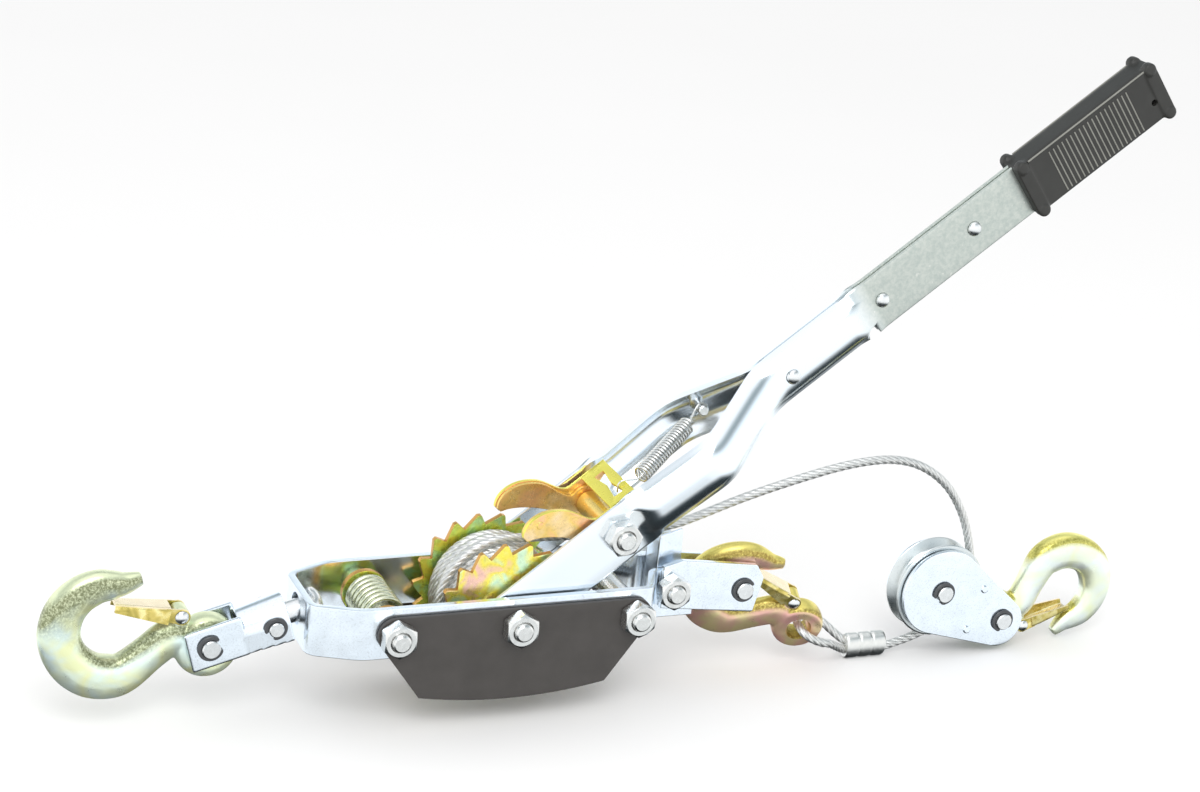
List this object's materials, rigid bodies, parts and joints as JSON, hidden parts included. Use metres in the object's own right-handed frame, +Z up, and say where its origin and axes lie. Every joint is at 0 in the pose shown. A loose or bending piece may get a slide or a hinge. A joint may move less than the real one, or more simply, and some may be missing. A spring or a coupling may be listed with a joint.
{
  "type": "come along winch",
  "caption": "Hand cable puller: a strap frame holds a ratchet drum turned by a long lever, with a swivel hook in front, a pulley block hook on the cable and a cable end hook on the anchor pin.",
  "frame": {"origin": "middle of the winch's box, at the height of its lowest point", "axes": "+X along the frame from the swivel hook to the anchor pin, +Z up towards the lever's side, -Y towards the nut ends of the bolts"},
  "size_m": [0.6374, 0.091, 0.3538],
  "materials": {
    "zinc": "bright zinc plate, slightly blue",
    "steel": "plated steel fasteners and pins",
    "gold_zinc": "yellow passivated zinc",
    "hook_zinc": "yellow-green passivated zinc on forgings",
    "black_paint": "matte black paint",
    "grip_plastic": "moulded, finely ribbed",
    "wire_rope": "stranded galvanised wire",
    "aluminium": "crimped sleeve"
  },
  "bodies": {
    "frame": {"frame_strap": "zinc", "side_plate_near": "black_paint", "side_plate_far": "black_paint", "front_bolt": "steel", "front_nut": "steel", "axle_bolt": "steel", "axle_nut": "steel", "rear_bolt": "steel", "rear_nut": "steel", "front_spacer": "steel", "rear_spacer": "steel", "bracket_plate_near": "zinc", "bracket_plate_far": "zinc", "cable_guide": "zinc", "bracket_bolt": "steel", "bracket_nut": "steel", "anchor_pin": "steel", "stop_pawl_spring": "steel", "cable_run": "wire_rope", "cable_ferrule": "aluminium"},
    "drum": {"ratchet_wheel_near": "gold_zinc", "ratchet_wheel_far": "gold_zinc", "drum_core": "steel", "drum_cable": "wire_rope"},
    "lever": {"lever_arm_near": "zinc", "lever_arm_far": "zinc", "lever_rivet_1": "steel", "lever_rivet_2": "steel", "lever_rivet_3": "steel", "lever_grip": "grip_plastic", "pawl_bolt": "steel", "pawl_nut": "steel", "spring_anchor": "steel", "pawl_spring": "steel"},
    "drive_pawl": {"drive_pawl": "gold_zinc", "pawl_doubler_near": "gold_zinc", "pawl_doubler_far": "gold_zinc", "pawl_sleeve": "gold_zinc"},
    "stop_pawl": {"stop_pawl": "gold_zinc"},
    "swivel": {"swivel_stud": "steel", "swivel_yoke": "zinc", "swivel_cross_pin": "steel", "hook_pin": "steel"},
    "front_hook": {"front_hook": "hook_zinc", "front_latch_rivet": "steel"},
    "front_latch": {"front_latch": "gold_zinc"},
    "cable_hook": {"cable_hook": "hook_zinc", "cable_latch_rivet": "steel"},
    "cable_latch": {"cable_latch": "gold_zinc"},
    "pulley_block": {"block_cheek_near": "zinc", "block_cheek_far": "zinc", "sheave_pin": "steel", "block_hook_pin": "steel"},
    "sheave": {"sheave": "zinc"},
    "block_hook": {"block_hook": "hook_zinc", "block_latch_rivet": "steel"},
    "block_latch": {"block_latch": "gold_zinc"}
  },
  "joints": [
    {"name": "drum_spin", "type": "hinge", "parent": "frame", "child": "drum", "pos_m": [-0.07551, 0.00205, 0.0564], "axis": [0, -1, 0], "continuous": true},
    {"name": "lever_swing", "type": "hinge", "parent": "frame", "child": "lever", "pos_m": [-0.07551, 0.00205, 0.0564], "axis": [0, -1, 0], "range_deg": [0, 70]},
    {"name": "drive_pawl_lift", "type": "hinge", "parent": "lever", "child": "drive_pawl", "pos_m": [-0.01808, 0.00205, 0.10031], "axis": [0, 1, 0], "range_deg": [0, 22], "deforming": ["pawl_spring"]},
    {"name": "stop_pawl_release", "type": "hinge", "parent": "frame", "child": "stop_pawl", "pos_m": [-0.14251, 0.00205, 0.0564], "axis": [0, 1, 0], "range_deg": [0, 20]},
    {"name": "swivel_turn", "type": "hinge", "parent": "frame", "child": "swivel", "pos_m": [-0.23311, 0.00205, 0.0459], "axis": [0.9659, 0, 0.2588], "continuous": true},
    {"name": "front_hook_swing", "type": "hinge", "parent": "swivel", "child": "front_hook", "pos_m": [-0.23311, 0.00205, 0.0459], "axis": [0, -1, 0], "range_deg": [-60, 60]},
    {"name": "front_latch_open", "type": "hinge", "parent": "front_hook", "child": "front_latch", "pos_m": [-0.24741, 0.00205, 0.0622], "axis": [0, -1, 0], "range_deg": [0, 30]},
    {"name": "cable_hook_swing", "type": "hinge", "parent": "frame", "child": "cable_hook", "pos_m": [0.11009, 0.00155, 0.0258], "axis": [0.2039, 0.9313, 0.3019], "range_deg": [-3, 3]},
    {"name": "cable_latch_open", "type": "hinge", "parent": "cable_hook", "child": "cable_latch", "pos_m": [0.1028, -0.00271, 0.04387], "axis": [-0.2039, -0.9313, -0.3019], "range_deg": [0, 20]},
    {"name": "block_swing", "type": "hinge", "parent": "frame", "child": "pulley_block", "pos_m": [0.19859, 0.00205, 0.0407], "axis": [0, -1, 0], "range_deg": [-6, 6]},
    {"name": "sheave_spin", "type": "hinge", "parent": "pulley_block", "child": "sheave", "pos_m": [0.19859, 0.00205, 0.0407], "axis": [0, -1, 0], "continuous": true},
    {"name": "block_hook_swing", "type": "hinge", "parent": "pulley_block", "child": "block_hook", "pos_m": [0.24119, 0.00205, 0.0198], "axis": [0, -1, 0], "range_deg": [-40, 30]},
    {"name": "block_latch_open", "type": "hinge", "parent": "block_hook", "child": "block_latch", "pos_m": [0.25977, 0.00205, 0.01254], "axis": [0, -1, 0], "range_deg": [0, 30]}
  ]
}
